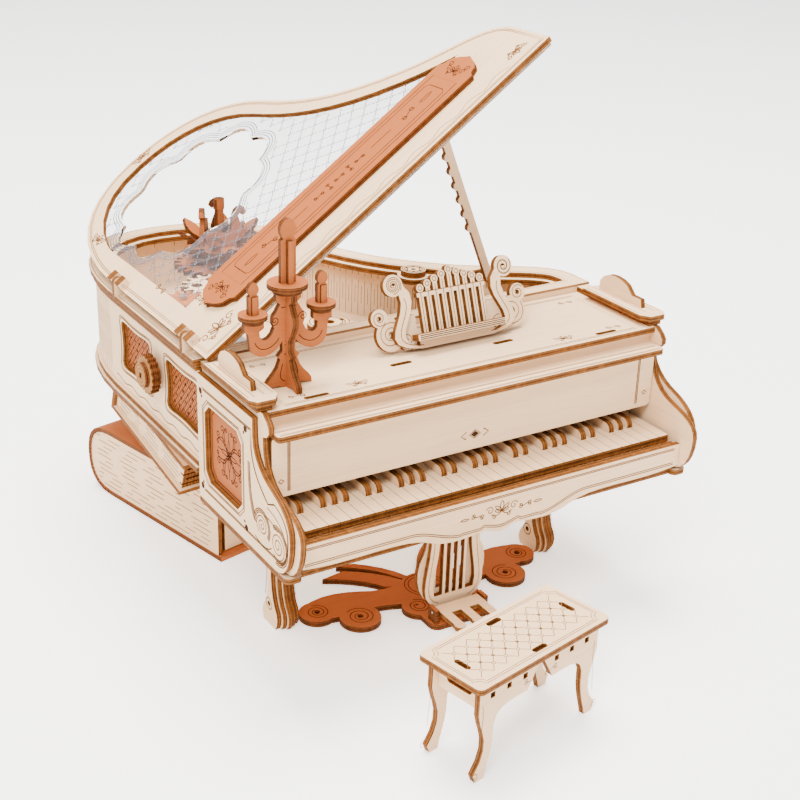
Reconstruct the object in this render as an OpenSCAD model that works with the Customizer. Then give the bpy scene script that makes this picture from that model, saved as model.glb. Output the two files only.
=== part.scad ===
// Wooden puzzle model of a grand piano music box with open lid, standing with its tail on
// two books, with a bench, candelabra, music stand and pedal lyre. Units are millimetres,
// Z is up, X runs along the keyboard from bass to treble, Y runs towards the tail.

/* [Plywood] */
// thickness of the main plywood sheet
ply = 3; // [2.6:0.1:3.2]
// thickness of the clear acrylic sheet in the lid
acrylic = 2; // [1.5:0.1:2.5]

/* [Keyboard] */
// distance from one white key to the next
key_pitch = 6.1; // [6:0.05:6.15]
// gap between neighbouring white keys
key_gap = 0.3; // [0.3:0.05:0.5]
// thickness of a white key
key_thick = 4; // [3.6:0.1:4]
// height of a black key above the white keys
black_rise = 4.6; // [3:0.1:5]

/* [Lid] */
// angle of the open lid above the case
lid_angle = 35.5; // [35:0.5:36]

/* [Bench] */
// length of the bench top
bench_l = 88; // [80:1:95]
// width of the bench top
bench_w = 38; // [36:1:42]
// height of the bench
bench_h = 52; // [46:1:60]

/* [Hidden] */
$fn = 32;

// levels of the case, measured from the floor
z_bed = 71.5;
z_cheek = z_bed + ply;
z_key = 92;
z_slip = 89.5;
z_floor = 87;
z_sound = 108;
z_deck = 144.5;
z_wall = 141.5;
z_cap = z_deck + 2 * ply;
z_rim = z_wall + 2 * ply;
z_lid = z_rim + 0.6;

// plan of the keyboard section
x_in = 111.6;
x_mid = x_in + ply;
x_out = x_mid + ply;
y_case = 84;
y_fall = 18;

// hinge of the lid
hx = -117.5;
hz = z_lid + acrylic + ply + 2;
lug_ys = [96, 184];

// foldaway lid prop: pivot under the lid, foot at the edge of the right rim
prop_y = 124;
prop_len = 117.5;
prop_lean = 67.6;
// pivot of the prop while the lid is closed, then turned up with the lid
prop_shut = [63, z_lid - 4.2];
prop_pivot = let (d = prop_shut - [hx, hz], c = cos(lid_angle), s = sin(lid_angle))
    [hx + d.x * c - d.y * s, hz + d.x * s + d.y * c];
prop_foot = prop_pivot + prop_len * [cos(prop_lean), -sin(prop_lean)];

// turning carousel and gears
car = [-40, 222];
car_teeth = 24;
idle_teeth = 16;
drive_teeth = 12;
gear_m = 2;
idle = car + 40 * [cos(-120), sin(-120)];
drive = idle + 28 * [cos(-150), sin(-150)];
knob_yz = [136, 121];

// row origin is the centre of the footprint
mid = [-3.25, 97.221];

// ------------------------------------------------------------------ helpers
function unit(v) = v / norm(v);

// cubic curve through a and d, pulled by b and c, without its last point
function bez(a, b, c, d, n = 8) =
    [for (i = [0:n - 1]) let (t = i / n, s = 1 - t)
        s * s * s * a + 3 * s * s * t * b + 3 * s * t * t * c + t * t * t * d];

// polygon points moved inwards by e, for points that run clockwise
function inset(p, e) =
    [for (i = [0:len(p) - 1])
        let (k = len(p), a = p[(i + k - 1) % k], b = p[i], c = p[(i + 1) % k],
             u = unit(b - a), v = unit(c - b), n1 = [u.y, -u.x], n2 = [v.y, -v.x])
        b + e * (n1 + n2) / (1 + n1 * n2)];

function mirrored(p) = [for (i = [len(p) - 1:-1:0]) [-p[i].x, p[i].y]];

// flat boards: lying, standing across, standing lengthwise
module board_xy(z, t = ply) { translate([0, 0, z]) linear_extrude(t) children(); }
module board_xz(y, t = ply) { translate([0, y + t, 0]) rotate([90, 0, 0]) linear_extrude(t) children(); }
module board_yz(x, t = ply) { translate([x, 0, 0]) rotate([90, 0, 90]) linear_extrude(t) children(); }

module rod(p, axis, d, l) {
    translate(p) rotate(axis == "x" ? [0, 90, 0] : axis == "y" ? [-90, 0, 0] : [0, 0, 0])
        cylinder(d = d, h = l);
}

module rounded(w, h, r) {
    for (sx = [-1, 1], sy = [-1, 1]) translate([sx * (w / 2 - r), sy * (h / 2 - r)]) circle(r);
    square([w - 2 * r, h], center = true);
    square([w, h - 2 * r], center = true);
}

module both() { children(); mirror([1, 0, 0]) children(); }

module slot2(l, w) {
    square([l - w, w], center = true);
    for (s = [-1, 1]) translate([s * (l - w) / 2, 0]) circle(d = w);
}

// puts the finished model over the row origin
module place() { translate([-mid.x, -mid.y, 0]) children(); }

// ------------------------------------------------------------------ outlines
// plan of the case and lid behind the keyboard, clockwise from the left front
case_pts = concat([[-116, y_case]],
    bez([-116, 194], [-116, 243], [-98, 283], [-56, 283]),
    bez([-56, 283], [-22, 283], [4, 262], [13, 228]),
    bez([13, 228], [20, 200], [30, 172], [64, 143]),
    bez([64, 143], [86, 124], [116, 118], [116, 98]),
    [[116, 98], [116, y_case]]);

module case_shape(e = 0) {
    intersection() {
        polygon(inset(case_pts, e));
        translate([-150, y_case]) square([300, 250]);
    }
}

module case_ring(e_out, e_in) {
    difference() {
        case_shape(e_out);
        polygon(inset(case_pts, e_in));
    }
}

// the same plan with its front edge moved to y, for the lid
lid_front = 72;
lid_pts = concat([[-119.4, lid_front]],
    bez([-119.4, 194], [-119, 246], [-100, 287], [-56, 287]),
    bez([-56, 287], [-20, 287], [8, 265], [17, 229]),
    bez([17, 229], [24, 202], [34, 175], [67, 146]),
    bez([67, 146], [87, 128], [112, 122], [112, 100]),
    [[112, 100], [112, lid_front]]);

// side view of a cheek, from the lower back corner round the front scroll
function cheek_pts(e, top) = concat([[y_case, z_cheek]],
    bez([-2 + e, z_cheek], [-11 + e, z_cheek], [-16 + e, 84 - e / 2], [-16 + e, 95], 6),
    bez([-16 + e, 95], [-16 + e, 103 + e / 3], [-8 + e, 105 + e], [3 + e / 2, 108 + e], 6),
    bez([3 + e / 2, 108 + e], [12 + e / 2, 110.5 + e], [20 + e, 117 + e], [20 + e, 130 + e / 2], 6),
    [[20 + e, 130 + e / 2]], e > 0 ? [] : bez([20, 133], [12, 134], [12, 142], [20, 143], 5),
    [[20 + e, top], [y_case, top]]);

// ------------------------------------------------------------------ keyboard section
module keybed() {
    color("wheat") board_xy(z_bed) {
        translate([-x_out, -4.5]) square([2 * x_out, y_case + 4.5]);
        both() translate([x_out - 4.5, 10]) rounded(9, 36, 3);
    }
}

// rails that carry the keys, and the strip between keys and apron
module key_rails() {
    color("wheat") {
        difference() {
            board_xz(6) translate([-x_in, z_cheek]) square([2 * x_in, z_key - key_thick - z_cheek]);
            for (k = play_keys) translate([key_x(k), 6, z_key - key_thick])
                cube([key_pitch, 12, 6.4], center = true);
        }
        board_xz(59.5) translate([-x_in, z_cheek]) square([2 * x_in, z_key - key_thick - z_cheek]);
        board_xy(z_key - key_thick - ply) translate([-x_in, -4.6]) square([2 * x_in, 4]);
    }
}

key_count = 36;
play_keys = [9, 18, 26];
function key_x(k) = (k - (key_count - 1) / 2) * key_pitch;
// a black key stands on the right of white key k unless k is an E or a B
function has_black(k) = k >= 0 && k < key_count - 1 && len(search(k % 7, [0, 1, 3, 4, 5])) > 0;

key_back = 63;
rod_y = 58;
rod_z = z_key - key_thick / 2;

module white_key(k) {
    w = key_pitch - key_gap;
    difference() {
        translate([key_x(k) - w / 2, 0, z_key - key_thick]) cube([w, key_back, key_thick]);
        if (has_black(k)) black_notch(k);
        if (has_black(k - 1)) black_notch(k - 1);
        rod([key_x(k) - 5, rod_y, rod_z], "x", 2.1, 10);
    }
}

black_w = 3.2;

module black_notch(k) {
    translate([key_x(k) + key_pitch / 2 - black_w / 2 - 0.3, 15.6, z_key - key_thick - 1])
        cube([black_w + 0.6, key_back, key_thick + 2]);
}

module black_key(k) {
    difference() {
        translate([key_x(k) + key_pitch / 2 - black_w / 2, 0, 0]) board_yz(0, black_w)
            polygon(concat([[key_back, z_key - key_thick], [16, z_key - key_thick]],
                bez([16, z_key + 0.4], [16, z_key + 3],
                    [17.5, z_key + black_rise], [21, z_key + black_rise], 5),
                [[40, z_key + black_rise], [46, z_key], [key_back, z_key]]));
        rod([key_x(k), rod_y, rod_z], "x", 2.1, 12);
    }
}

module white_keys() {
    color("ivory") for (k = [0:key_count - 1])
        if (len(search(k, play_keys)) == 0) white_key(k);
}

module black_keys() {
    color("sienna") for (k = [0:key_count - 2]) if (has_black(k)) black_key(k);
}

// fixed steel pins: key rod, gear pin and pedal pin
module steel_pins() {
    color("silver") {
        rod([-x_in, rod_y, rod_z], "x", 2, 2 * x_in);
        rod([-16.2, pedal_axis.x, pedal_axis.y], "x", 1.2, 32.4);
        translate([idle.x, idle.y, z_sound + ply]) {
            cylinder(d = 7, h = z_gear - z_sound - ply - 0.3);
            cylinder(d = 4.1, h = z_gear - z_sound + 2);
        }
    }
}

module playing_key(n) { color("ivory") white_key(play_keys[n]); }

// apron under the keys with a scalloped lower edge
module keyslip() {
    half = concat(
        bez([0, 68], [5, 68], [6, 71.5], [12, 70.5], 4),
        bez([12, 70.5], [28, 68.5], [34, 69.5], [42, 73], 5),
        bez([42, 73], [50, 76.5], [62, 76.5], [80, 76], 5),
        bez([80, 76], [96, 75.6], [104, 76.6], [x_in - 0.2, 77.5], 4),
        [[x_in - 0.2, 77.5], [x_in - 0.2, z_slip]]);
    color("wheat") board_xz(-4.6 - ply) polygon(concat(half, mirrored(half)));
}

module cheek_window(e = 0) {
    c = 5;
    y0 = 36 + e; y1 = 76 - e; z0 = 87 + e; z1 = 128 - e;
    polygon([[y0 + c, z0], [y1 - c, z0], [y1, z0 + c], [y1, z1 - c],
        [y1 - c, z1], [y0 + c, z1], [y0, z1 - c], [y0, z0 + c]]);
}

module cheeks_inner() {
    color("wheat") both() board_yz(x_in) difference() {
        polygon(cheek_pts(0, z_deck));
        cheek_window(-1.5);
    }
}

module cheeks_outer() {
    color("wheat") both() board_yz(x_mid) difference() {
        polygon(cheek_pts(4.5, 141));
        cheek_window();
        for (y = [33.5, 79], z = [84.5, 130.5]) translate([y, z]) circle(d = 1.8);
    }
}

module cheek_panels() {
    color("chocolate") both() board_yz(x_in + 0.2, ply - 0.4) cheek_window(-1.3);
}

// fallboard over the keys
module fallboard() {
    color("wheat") board_xz(y_fall) translate([0, 117.1]) rounded(2 * x_in - 1, 31, 2.5);
}

// narrow stained rail between shelf and deck
module name_rail() {
    color("chocolate") board_xz(23) translate([-x_in, 135.6]) square([2 * x_in, z_deck - ply - 135.6]);
}

module fallboard_shelf() {
    color("wheat") board_xy(132.6) difference() {
        translate([0, 20]) rounded(2 * x_in - 0.6, 18, 2);
        for (s = [-1, 1]) translate([s * 100, 27]) slot2(9, 1.6);
    }
}

// ------------------------------------------------------------------ deck and top rails
module deck() {
    color("wheat") board_xy(z_deck - ply) difference() {
        translate([-x_in + 0.1, 20]) square([2 * x_in - 0.2, y_case - 20 - 3.2]);
        for (s = [-1, 1]) {
            translate([s * 84, 26]) slot2(13, 2.6);
            translate([s * 30, 40]) slot2(12, 3.1);
        }
    }
}

module back_board() {
    color("wheat") board_xz(y_case - ply) translate([-x_in, z_cheek])
        square([2 * x_in, z_rim - z_cheek]);
}

// side caps with the narrower strip under them
module side_caps() {
    color("wheat") both() {
        board_xy(z_deck) translate([x_in - 3, 22]) square([8, y_case - ply - 22]);
        board_xy(z_cap - ply) difference() {
            polygon([[104.5, 25], [108, 20], [117, 20], [119.4, 24], [119.4, 71], [104.5, 71]]);
            translate([111.4, 40]) square([3, 6.2]);
        }
    }
}

// scrolled brackets standing on the side caps
module cap_brackets() {
    color("wheat") both() translate([0, -4, 0]) board_yz(111.5, 2.8) polygon(concat(
        [[44.1, z_cap - ply], [50.1, z_cap - ply], [50.1, z_cap], [70, z_cap]],
        bez([70, z_cap + 5], [66, z_cap + 13], [50, z_cap + 12], [45, z_cap + 6], 6),
        [[44, z_cap + 4.5], [37, z_cap + 4.5], [36, z_cap], [44.1, z_cap]]));
}

// ------------------------------------------------------------------ body behind the keyboard
// floor of the case with the moulding on it
module body_floor() {
    color("wheat") {
        board_xy(z_floor) case_shape(-3);
        board_xy(z_floor + ply) case_ring(-1.5, 6);
    }
}

wall_z0 = z_floor + 2 * ply;

// bent side and tail, cut into narrow upright slats so the sheet can bend
module bent_wall() {
    color("wheat") translate([0, 0, wall_z0]) linear_extrude(z_wall - wall_z0) difference() {
        case_shape();
        polygon(inset(case_pts, 2.6));
        translate([-130, y_case - 1]) square([30, 197 - y_case + 1]);
        translate([-112, y_case - 1]) square([224, 6]);
    }
}

// outline of one of the two windows in the left side
module side_window(e = 0) {
    a = 20 - e; h = 13.5 - e;
    polygon(concat(
        bez([-a, h - 3], [-a, h + 1], [-a + 5, h], [-a + 8, h], 4),
        bez([-a + 8, h], [-4, h - 1], [4, h - 1], [a - 8, h], 5),
        bez([a - 8, h], [a - 5, h], [a, h + 1], [a, h - 3], 4),
        bez([a, h - 3], [a - 2, 3], [a - 2, -3], [a, -h + 3], 5),
        bez([a, -h + 3], [a, -h - 1], [a - 5, -h], [a - 8, -h], 4),
        bez([a - 8, -h], [4, -h + 1], [-4, -h + 1], [-a + 8, -h], 5),
        bez([-a + 8, -h], [-a + 5, -h], [-a, -h - 1], [-a, -h + 3], 4),
        bez([-a, -h + 3], [-a + 2, -3], [-a + 2, 3], [-a, h - 3], 5)));
}

window_ys = [106, 166];

module left_side() {
    color("wheat") board_yz(-116) difference() {
        translate([y_case, wall_z0]) square([197 - y_case, z_wall - wall_z0]);
        for (y = window_ys) translate([y, 119]) side_window();
        translate(knob_yz) circle(d = 5.4);
    }
}

module side_grilles() {
    color("chocolate") board_yz(-116 + ply, 2.4) for (y = window_ys)
        translate([y, 119]) difference() {
            side_window(-2);
            for (a = [-3:3], b = [-2:2]) translate([a * 5.6 + (b % 2) * 2.8, b * 4.8])
                rotate(45) square(1.5, center = true);
        }
}

// top rim in two steps, with a notch that takes the foot of the lid prop
module rim() {
    color("wheat") difference() {
        union() {
            board_xy(z_wall) case_ring(-2.2, 11);
            board_xy(z_rim - ply) case_ring(-3.4, 8);
            translate([waist.x, waist.y, z_wall]) cylinder(r = 9, h = ply);
        }
        translate([waist.x, waist.y, z_rim - ply]) cylinder(r = 7.2, h = 2 * ply);
        translate([prop_foot.x - 27, prop_y - 5, z_wall - 1]) cube([30, 10.4, 10]);
    }
}

module hinge_lugs() {
    color("wheat") for (y = lug_ys) board_xz(y - 1.5) difference() {
        union() {
            translate([hx - 2.6, z_rim]) square([5.2, hz - z_rim]);
            translate([hx, hz]) circle(r = 2.6);
        }
        translate([hx, hz]) circle(d = 2);
    }
}

// board under the gears, cut through where the folded lid prop passes
module soundboard() {
    color("wheat") board_xy(z_sound) difference() {
        case_shape(2.6);
        translate([-130, 0]) square([19.5, 197]);
        translate([-3, prop_y]) slot2(128, 12);
        translate([30, 152]) circle(11);
        translate([-88, 250]) circle(9);
        translate(car) circle(d = 5.15);
        translate([60, 102]) slot2(46, 12);
        translate([-45, 102]) slot2(60, 12);
    }
}

// carved discs on the soundboard and at the waist of the rim, and a scrolled shelf on the back board
waist = [44, 146];
module ornament_discs() {
    color("wheat") {
        translate([5, 172, z_sound + ply]) disc(13, 3.2, 6);
        translate([waist.x, waist.y, z_rim - ply]) disc(7, ply + 0.3, 3);
        // the shelf stays behind the space over the movement
        board_xy(134) difference() {
            union() {
                translate([-69, 93]) circle(9);
                translate([-48, 88.4]) circle(8);
                translate([-29, 88.4]) circle(7.6);
                translate([-14, 88]) circle(6);
                translate([-74, y_case]) square([66, 7]);
            }
            translate([-69, 93]) circle(2);
            for (x = [-48, -29, -14]) translate([x, 89]) circle(1.6);
            translate([-90, y_case - 20]) square([100, 20.05]);
        }
    }
}

module disc(r, h, hole) {
    linear_extrude(h) difference() {
        circle(r);
        circle(d = hole);
        for (a = [0:60:300]) rotate(a) translate([r * 0.62, 0]) circle(r * 0.12);
    }
}

// ------------------------------------------------------------------ mechanism
module tooth_ring(teeth, m = gear_m) {
    r = teeth * m / 2;
    polygon([for (i = [0:teeth - 1], q = [[-0.30, -1.15], [-0.13, 0.85], [0.13, 0.85], [0.30, -1.15]])
        let (a = 360 * (i + q.x * 0.86) / teeth, rr = r + q.y * m) rr * [cos(a), sin(a)]]);
}

module gear(teeth, t, bore, phase = 0, spokes = 5) {
    r = teeth * gear_m / 2;
    linear_extrude(t) rotate(phase) difference() {
        tooth_ring(teeth);
        circle(d = bore);
        if (spokes > 0) for (i = [0:spokes - 1]) rotate(360 * i / spokes)
            translate([(r + 1) * 0.52, 0]) circle(r * 0.2);
    }
}

z_gear = 139;

// angle that sets a tooth of one gear into a gap of the gear it meets at bearing b
function mesh_phase(b, teeth_a, phase_a, teeth_b) =
    b + 180 + 180 / teeth_b + (b - phase_a) * teeth_a / teeth_b;

// toothed wheel low on the shaft and the flower disc at its top
module carousel_discs() {
    color("chocolate") translate([car.x, car.y, 0]) {
        translate([0, 0, z_gear]) gear(car_teeth, ply, 5, 0, 6);
        board_xy(z_car) difference() {
            union() { circle(15); for (a = [0:60:300]) rotate(a) translate([15, 0]) circle(6.5); }
            circle(d = 5);
        }
    }
}

module carousel_shaft() {
    color("chocolate") translate([car.x, car.y, z_floor + ply + 0.3]) {
        cylinder(d = 5, h = 88);
        translate([0, 0, 84]) cylinder(d = 6.4, h = 6);
    }
}

z_car = 150.4;

// lotus petals standing outwards round the carousel
module lotus_petals() {
    color("chocolate") translate([car.x, car.y, z_car + ply]) for (a = [0:60:300]) rotate(a)
        translate([14.5, 0, 0.6]) rotate([0, -38, 0]) linear_extrude(2.4) polygon(concat(
            [[0, 2], [0, -2]], bez([0, -2], [6, -6.4], [10, -4], [14.7, 0], 5),
            bez([14.7, 0], [10, 4], [6, 6.4], [0, 2], 5)));
}

// one swan in side view
module swan_shape() {
    polygon(concat(
        bez([-9, 0], [-14, 3], [-15, 9], [-12, 12], 4),
        bez([-12, 12], [-8, 10], [-4, 8], [0, 8], 4),
        bez([0, 8], [4, 9], [3, 16], [3, 19], 4),
        bez([3, 19], [4, 25], [11, 25], [12, 19], 5),
        [[12, 19], [9.5, 17.5], [8.5, 20], [6.5, 18]],
        bez([6.5, 18], [8, 12], [12, 8], [10, 3], 4),
        [[10, 3], [8, 0]]));
}

module swans() {
    color("chocolate") translate([car.x, car.y, z_car + ply]) for (a = [0, 120, 240]) rotate(a)
        translate([0, -9, 0]) board_xz(-ply / 2) translate([1, 0]) swan_shape();
}

module idle_gear() {
    color("wheat") translate([idle.x, idle.y, z_gear])
        gear(idle_teeth, ply, 4.2, mesh_phase(-120, car_teeth, 0, idle_teeth), 4);
}

module drive_gear() {
    color("chocolate") translate([drive.x, drive.y, z_gear]) gear(drive_teeth, ply, 4.1,
        mesh_phase(-150, idle_teeth, mesh_phase(-120, car_teeth, 0, idle_teeth), drive_teeth), 0);
}

// music movement: a closed frame on the soundboard with an upright output pin
module movement() {
    color("silver") difference() {
        union() {
            translate([-98, 129, z_sound + ply]) cube([30, 52, 21]);
            translate([drive.x, drive.y, z_sound + ply]) cylinder(d = 7, h = z_gear - z_sound - ply - 0.3);
            translate([drive.x, drive.y, z_sound + ply]) cylinder(d = 4, h = z_gear - z_sound + 2);
        }
        rod([-99, knob_yz.x, knob_yz.y], "x", 5.4, 14);
    }
}

module winding_shaft() {
    color("silver") rod([-124.5, knob_yz.x, knob_yz.y], "x", 5.3, 38);
}

// toothed winding knob pressed on its shaft
module winding_knob() {
    color("tan") translate([-123.5, knob_yz.x, knob_yz.y]) rotate([0, 90, 0]) difference() {
        union() {
            linear_extrude(4.8) {
                circle(9.4);
                for (a = [0:20:340]) rotate(a) translate([9.3, 0]) circle(1.1);
            }
            translate([0, 0, -2.4]) cylinder(r = 6.6, h = 2.5);
        }
        translate([0, 0, -1]) cylinder(d = 5.3, h = 8);
        translate([-1.6, -1.6, -5]) cube([3.2, 3.2, 8]);
    }
}

// ------------------------------------------------------------------ lid
// everything on the lid is drawn closed, then turned up about the hinge line
module opened() {
    translate([hx, 0, hz]) rotate([0, -lid_angle, 0]) translate([-hx, 0, -hz]) children();
}

module lug_slots() {
    for (y = lug_ys) translate([hx - 4, y - 2.1]) square([8.2, 4.2]);
}

module lid_frame() {
    color("wheat") opened() board_xy(z_lid + acrylic) difference() {
        polygon(lid_pts);
        intersection() {
            polygon(inset(lid_pts, 11));
            translate([-106, lid_front + 47]) square([230, 220]);
        }
        lug_slots();
    }
}

module lid_panel() {
    color("lightblue", 0.4) opened() board_xy(z_lid, acrylic) difference() {
        polygon(inset(lid_pts, 0.8));
        lid_opening();
        lug_slots();
    }
}

// wavy opening over the carousel
module lid_opening() {
    translate([-52, 212]) polygon([for (i = [0:71])
        let (a = 360 * i / 72, r = 44 + 6 * abs(sin(a * 5)) + 1.6 * cos(a * 3)) r * [cos(a), sin(a)]]);
}

module lid_plank() {
    color("chocolate") opened() board_xy(z_lid + acrylic + ply) translate([-7, lid_front + 33])
        polygon(concat(plank_end(1), plank_end(-1)));
}

function plank_end(s) = [for (p = concat(
    [[82, 15], [88, 15]], bez([88, 15], [90, 10], [93, 13], [95, 9], 4),
    bez([95, 9], [98, 5], [97, 2], [99, 0], 4), bez([99, 0], [97, -2], [98, -5], [95, -9], 4),
    bez([95, -9], [93, -13], [90, -10], [88, -15], 4), [[88, -15], [82, -15]])) s * (p - [7, 0])];

// hinge blocks on top of the lid and the lugs that carry the prop under it
module lid_hinges() {
    color("wheat") opened() {
        for (y = lug_ys, s = [-1, 1]) difference() {
            translate([hx - 2.1, y + s * 5.2 - 2.6, z_lid + acrylic + ply]) cube([6, 5.2, 4.2]);
            rod([hx, y - 10, hz], "y", 2, 20);
        }
        for (s = [-1, 1]) board_xz(prop_y - 1.4 + s * 3.2, 2.8) difference() {
            translate([prop_shut.x - 4, z_lid - 7.4]) square([8, 7.4]);
            translate(prop_shut) circle(d = 2);
        }
    }
}

module lid_pins() {
    color("silver") opened() {
        for (y = lug_ys) rod([hx, y - 7.8, hz], "y", 1.9, 15.6);
        rod([prop_shut.x, prop_y - 4.6, prop_shut.y], "y", 1.9, 9.2);
    }
}

// carved stick that holds the lid open
module lid_prop() {
    color("wheat") translate([prop_pivot.x, 0, prop_pivot.y]) rotate([0, prop_lean, 0])
        board_xz(prop_y - 1.5) difference() {
            union() {
                circle(r = 3);
                translate([0, -2.2]) square([prop_len, 4.4]);
                for (i = [3:9]) translate([i * 9, -1.4]) circle(r = 2.6, $fn = 16);
            }
            circle(d = 2);
        }
}

// ------------------------------------------------------------------ music stand
module lyre_outline(w, h) {
    r = concat(
        bez([0, 0], [w * 0.25, 0], [w * 0.45, -h * 0.06], [w * 0.62, h * 0.04], 5),
        bez([w * 0.62, h * 0.04], [w, h * 0.12], [w * 1.02, h * 0.4], [w * 0.8, h * 0.52], 6),
        bez([w * 0.8, h * 0.52], [w * 0.66, h * 0.62], [w * 0.7, h * 0.8], [w * 0.86, h * 0.82], 6),
        bez([w * 0.86, h * 0.82], [w, h * 0.9], [w * 0.92, h * 1.06], [w * 0.74, h], 6),
        bez([w * 0.74, h], [w * 0.5, h * 0.9], [w * 0.3, h * 1.02], [0, h * 1.04], 5));
    polygon(concat(r, [[0, h * 1.04]], mirrored(r)));
}

stand_tilt = -20;
module on_deck() {
    translate([8, 47, z_deck + 2.15]) rotate([stand_tilt, 0, 0]) children();
}

// one curved arm of a lyre, w half wide, h high and t thick
function arm(w, h, t) =
    let (o = concat(bez([0.5 * w, 0], [1.3 * w, 0.1 * h], [0.42 * w, 0.5 * h], [0.8 * w, 0.86 * h], 9),
            [[0.8 * w, 0.86 * h]]))
    concat(o, [for (i = [len(o) - 1:-1:0]) o[i] - [t, 0]]);

module lyre_arms(w, h, t, r) {
    both() {
        polygon(arm(w, h, t));
        translate([0.8 * w - t / 2 + r * 0.35, 0.86 * h]) difference() { circle(r); circle(r * 0.22); }
    }
}

// front board with its bars, scrolled back board, and the ledge for sheets
module music_stand() {
    color("wheat") on_deck() {
        board_xz(0) {
            lyre_arms(42, 38, 6, 5.4);
            translate([0, 3]) square([44, 6], center = true);
            translate([0, 26]) square([40, 2.2], center = true);
            for (i = [-4:4]) {
                translate([i * 4.4 - 1.2, 5]) square([2.4, 31 - abs(i) * 1.7]);
                translate([i * 4.4, 36 - abs(i) * 1.7]) circle(2);
            }
        }
        board_xz(ply + 0.05) {
            both() difference() {
                union() {
                    translate([36, 9]) circle(8);
                    translate([41, 18]) circle(4.6);
                    translate([27, 5]) circle(4.8);
                    translate([26, 10]) square([10, 14], center = true);
                }
                translate([36, 9]) circle(1.8);
                translate([41, 18]) circle(1.2);
            }
            translate([0, 5]) square([50, 10], center = true);
        }
        translate([-26, -6, 4.4]) cube([52, 6, ply]);
    }
}

module slot2v(w, l) { rotate(90) slot2(l, w); }

// ------------------------------------------------------------------ candelabra
cand = [-90, 43];

module stem_half(arm) {
    polygon(concat([[0, 0], [3, 0]],
        bez([3, 0], [6, 2], [8, 1], [12, 0], 4),
        bez([12, 0], [13, 5], [6, 6], [4.4, 14], 5),
        [[4.4, 14], [5.6, 15.5], [3.2, 18], [3.4, 23]],
        arm ? concat(bez([3.4, 23], [9, 14], [20, 16], [20.4, 25], 7), [[20.4, 29], [22.4, 31], [22.4, 34],
                [12.6, 34], [12.6, 31], [15, 29.6]], bez([15, 29.6], [15.4, 23], [9, 24], [7.4, 30], 6))
            : [[6, 27], [7.4, 30]],
        bez([7.4, 30], [9, 33], [8.4, 38], [4.4, 38], 5), [[4.4, 41], [6.4, 43], [6.4, 46], [0, 46]]));
}

module stem_plate(arm) { stem_half(arm); mirror([1, 0]) stem_half(arm); }

module candelabra_front() {
    color("chocolate") translate([cand.x, cand.y, z_deck + 0.02]) difference() {
        board_xz(-1.5) stem_plate(true);
        translate([-1.6, -2, 22]) cube([3.2, 4, 30]);
    }
}

module candelabra_side() {
    color("chocolate") translate([cand.x, cand.y, z_deck + 0.02]) difference() {
        board_yz(-1.5) stem_plate(false);
        translate([-2, -1.6, -1]) cube([4, 3.2, 23]);
    }
}

module drip_trays() {
    color("chocolate") translate([cand.x, cand.y, z_deck + 0.04]) {
        translate([0, 0, 46]) { cylinder(r = 7, h = 2.2); translate([0, 0, 2.2]) cylinder(r = 9.4, h = 2.4); }
        for (s = [-1, 1]) translate([s * 17.5, 0, 34]) {
            cylinder(r = 5, h = 2);
            translate([0, 0, 2]) cylinder(r = 6.8, h = 2.2);
        }
    }
}

module candles() {
    color("chocolate") translate([cand.x, cand.y, z_deck + 0.06]) {
        translate([0, 0, 50.6]) candle_cross(20, 7.6);
        for (s = [-1, 1]) translate([s * 17.5, 0, 38.2]) candle_cross(8.6, 5);
    }
}

// candle of two crossed plates with a rounded flame
module candle_cross(h, w) {
    translate([-1.3, -w / 2, 0]) cube([2.6, w, h]);
    board_xz(-1.3, 2.6) polygon(concat([[-w / 2, 0], [w / 2, 0], [w / 2, h], [w * 0.34, h + 0.6]],
        bez([w * 0.34, h + 1], [w * 0.72, h + w * 0.5], [w * 0.5, h + w * 1.25], [0, h + w * 1.3], 6),
        bez([0, h + w * 1.3], [-w * 0.5, h + w * 1.25], [-w * 0.72, h + w * 0.5], [-w * 0.34, h + 1], 6),
        [[-w * 0.34, h + 0.6], [-w / 2, h]]));
}

// ------------------------------------------------------------------ legs and floor frame
leg_x = 82;

module leg_shape(e = 0) {
    polygon(concat([[57 + e, 0], [76 - e, 0]],
        bez([76 - e, 0], [79 - e, 4], [77 - e, 9], [73 - e, 13], 4),
        bez([73 - e, 13], [70 - e, 22], [71 - e, 36], [75 - e, 44], 5),
        bez([75 - e, 44], [79 - e, 54], [78 - e, 62], [78 - e, z_bed], 4),
        [[78 - e, z_bed], [57 + e, z_bed]],
        bez([57 + e, z_bed], [55 + e, 60], [56 + e, 50], [59 + e, 42], 4),
        bez([59 + e, 42], [63 + e, 32], [62 + e, 20], [58 + e, 13], 5),
        bez([58 + e, 13], [54 + e, 9], [54 + e, 4], [57 + e, 0], 4)));
}

module leg_cores() {
    color("wheat") both() {
        board_yz(leg_x - 3.8, 2.5) leg_shape(1.4);
        board_yz(leg_x - 1.3, 2.6) leg_shape();
        board_yz(leg_x + 1.3, 2.5) leg_shape(1.4);
    }
}

module leg_sides() {
    color("wheat") both() for (x = [leg_x - 6.4, leg_x + 3.8]) board_yz(x, 2.6) difference() {
        leg_shape(3);
        for (z = [12, 56]) translate([67, z]) circle(d = 3);
    }
}

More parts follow.
